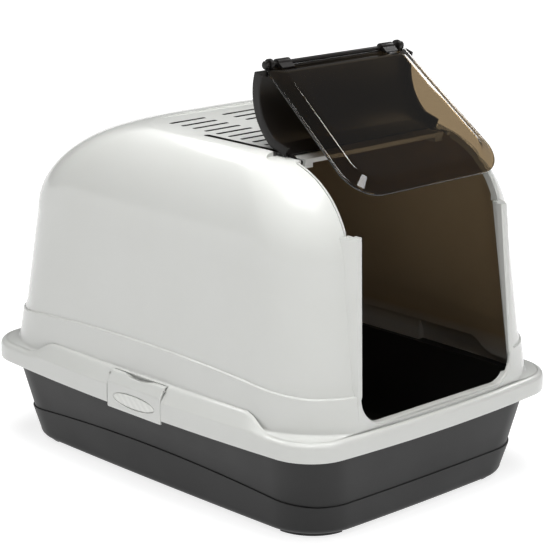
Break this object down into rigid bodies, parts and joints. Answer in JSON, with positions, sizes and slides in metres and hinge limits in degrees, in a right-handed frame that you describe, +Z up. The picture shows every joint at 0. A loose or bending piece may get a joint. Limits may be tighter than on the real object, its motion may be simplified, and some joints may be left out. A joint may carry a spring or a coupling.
{
  "type": "cat litter box with hood",
  "caption": "Hooded cat litter box: deep tray, lift-off hood with a tip-up visor and swing door, side latches and a roof vent with filter.",
  "frame": {"origin": "on the floor under the middle of the box", "axes": "+Z up, +Y from the entrance to the back, +X to the right seen from the front"},
  "size_m": [0.5, 0.648, 0.5695],
  "materials": {
    "tray_plastic": "moulded polypropylene, fine matt grain, charcoal",
    "hood_plastic": "moulded polypropylene, pearly gloss white",
    "visor_plastic": "moulded polypropylene, satin black",
    "door_plastic": "moulded clear polystyrene, smoked",
    "pin_steel": "drawn wire pin",
    "holder_plastic": "moulded polypropylene",
    "carbon_fleece": "activated-carbon fleece"
  },
  "bodies": {
    "tray": {"tray": "tray_plastic"},
    "hood": {"hood": "hood_plastic", "latch_pin_left": "pin_steel", "latch_pin_right": "pin_steel"},
    "visor": {"visor": "visor_plastic", "door_rod": "visor_plastic", "rod_knob_left": "visor_plastic", "rod_knob_right": "visor_plastic"},
    "door": {"swing_door": "door_plastic", "hinge_clip_left": "visor_plastic", "hinge_clip_right": "visor_plastic"},
    "latch_left": {"latch_left": "hood_plastic", "latch_inlay_left": "hood_plastic"},
    "latch_right": {"latch_right": "hood_plastic", "latch_inlay_right": "hood_plastic"},
    "filter": {"filter_holder": "holder_plastic", "carbon_filter": "carbon_fleece"}
  },
  "joints": [
    {"name": "hood_lift", "type": "slide", "parent": "tray", "child": "hood", "axis": [0, 0, 1], "range_m": [0, 0.15]},
    {"name": "visor_hinge", "type": "hinge", "parent": "hood", "child": "visor", "pos_m": [0, -0.1818, 0.452], "axis": [1, 0, 0], "range_deg": [0, 155.4]},
    {"name": "door_hinge", "type": "hinge", "parent": "visor", "child": "door", "pos_m": [0, -0.1148, 0.562], "axis": [1, 0, 0], "range_deg": [-176, 0]},
    {"name": "latch_left_hinge", "type": "hinge", "parent": "hood", "child": "latch_left", "pos_m": [-0.2428, -0.012, 0.1558], "axis": [0, 1, 0], "range_deg": [0, 70]},
    {"name": "latch_right_hinge", "type": "hinge", "parent": "hood", "child": "latch_right", "pos_m": [0.2428, -0.012, 0.1558], "axis": [0, -1, 0], "range_deg": [0, 70]},
    {"name": "filter_slide", "type": "slide", "parent": "hood", "child": "filter", "axis": [0, 1, 0], "range_m": [0, 0.045]}
  ]
}
